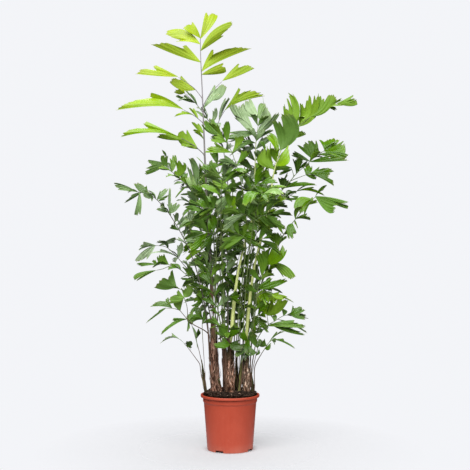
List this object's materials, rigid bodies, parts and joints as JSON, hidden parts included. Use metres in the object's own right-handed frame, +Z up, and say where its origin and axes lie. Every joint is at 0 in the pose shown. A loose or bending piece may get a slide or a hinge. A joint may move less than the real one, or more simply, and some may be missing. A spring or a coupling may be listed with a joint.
{
  "type": "potted palm",
  "caption": "Potted clumping fishtail palm: fibrous stems, arching fronds of jagged wedge-shaped leaflets and a round terracotta-coloured plastic pot filled with soil.",
  "frame": {"origin": "middle of the underside of the whole plant's bounding box, at the level of the pot's foot; the pot's own axis stands 22 mm towards -X and 21 mm towards -Y from it", "axes": "+Z up along the pot's axis; the plant's front faces -Y"},
  "size_m": [0.98, 0.8934, 1.774],
  "materials": {
    "cane_right": "satin",
    "frond_back": "satin",
    "frond_back_left": "satin",
    "frond_back_right": "satin",
    "frond_centre": "satin",
    "frond_centre_front": "satin",
    "frond_centre_left": "satin",
    "frond_centre_right": "satin",
    "frond_crown": "satin",
    "frond_crown_behind": "satin",
    "frond_front_low": "satin",
    "frond_front_mid": "satin",
    "frond_front_right": "satin",
    "frond_front_right_low": "satin",
    "frond_left_droop": "satin",
    "frond_left_far": "satin",
    "frond_left_grey": "satin",
    "frond_left_inner": "satin",
    "frond_left_low": "satin",
    "frond_left_lowest": "satin",
    "frond_left_mid": "satin",
    "frond_left_upper": "satin",
    "frond_left_wisp": "satin",
    "frond_low_back": "satin",
    "frond_low_back_right": "satin",
    "frond_low_centre": "satin",
    "frond_mid_back": "satin",
    "frond_mid_centre": "satin",
    "frond_mid_left": "satin",
    "frond_mid_right": "satin",
    "frond_right_arch": "satin",
    "frond_right_fans": "satin",
    "frond_right_low": "satin",
    "frond_right_lowest": "satin",
    "frond_right_reach": "satin",
    "frond_right_sprig": "satin",
    "frond_top_right": "satin",
    "pot": "satin",
    "root_left": "rough",
    "shoot_left": "satin",
    "shoot_right": "satin",
    "soil": "rough",
    "stem_back": "rough",
    "stem_back_right": "rough",
    "stem_left": "rough",
    "stem_middle": "rough",
    "stem_right": "rough"
  },
  "bodies": {
    "root": {"cane_right": "cane_right", "frond_back": "frond_back", "frond_back_left": "frond_back_left", "frond_back_right": "frond_back_right", "frond_centre": "frond_centre", "frond_centre_front": "frond_centre_front", "frond_centre_left": "frond_centre_left", "frond_centre_right": "frond_centre_right", "frond_crown": "frond_crown", "frond_crown_behind": "frond_crown_behind", "frond_front_low": "frond_front_low", "frond_front_mid": "frond_front_mid", "frond_front_right": "frond_front_right", "frond_front_right_low": "frond_front_right_low", "frond_left_droop": "frond_left_droop", "frond_left_far": "frond_left_far", "frond_left_grey": "frond_left_grey", "frond_left_inner": "frond_left_inner", "frond_left_low": "frond_left_low", "frond_left_lowest": "frond_left_lowest", "frond_left_mid": "frond_left_mid", "frond_left_upper": "frond_left_upper", "frond_left_wisp": "frond_left_wisp", "frond_low_back": "frond_low_back", "frond_low_back_right": "frond_low_back_right", "frond_low_centre": "frond_low_centre", "frond_mid_back": "frond_mid_back", "frond_mid_centre": "frond_mid_centre", "frond_mid_left": "frond_mid_left", "frond_mid_right": "frond_mid_right", "frond_right_arch": "frond_right_arch", "frond_right_fans": "frond_right_fans", "frond_right_low": "frond_right_low", "frond_right_lowest": "frond_right_lowest", "frond_right_reach": "frond_right_reach", "frond_right_sprig": "frond_right_sprig", "frond_top_right": "frond_top_right", "pot": "pot", "root_left": "root_left", "shoot_left": "shoot_left", "shoot_right": "shoot_right", "soil": "soil", "stem_back": "stem_back", "stem_back_right": "stem_back_right", "stem_left": "stem_left", "stem_middle": "stem_middle", "stem_right": "stem_right"}
  },
  "joints": []
}
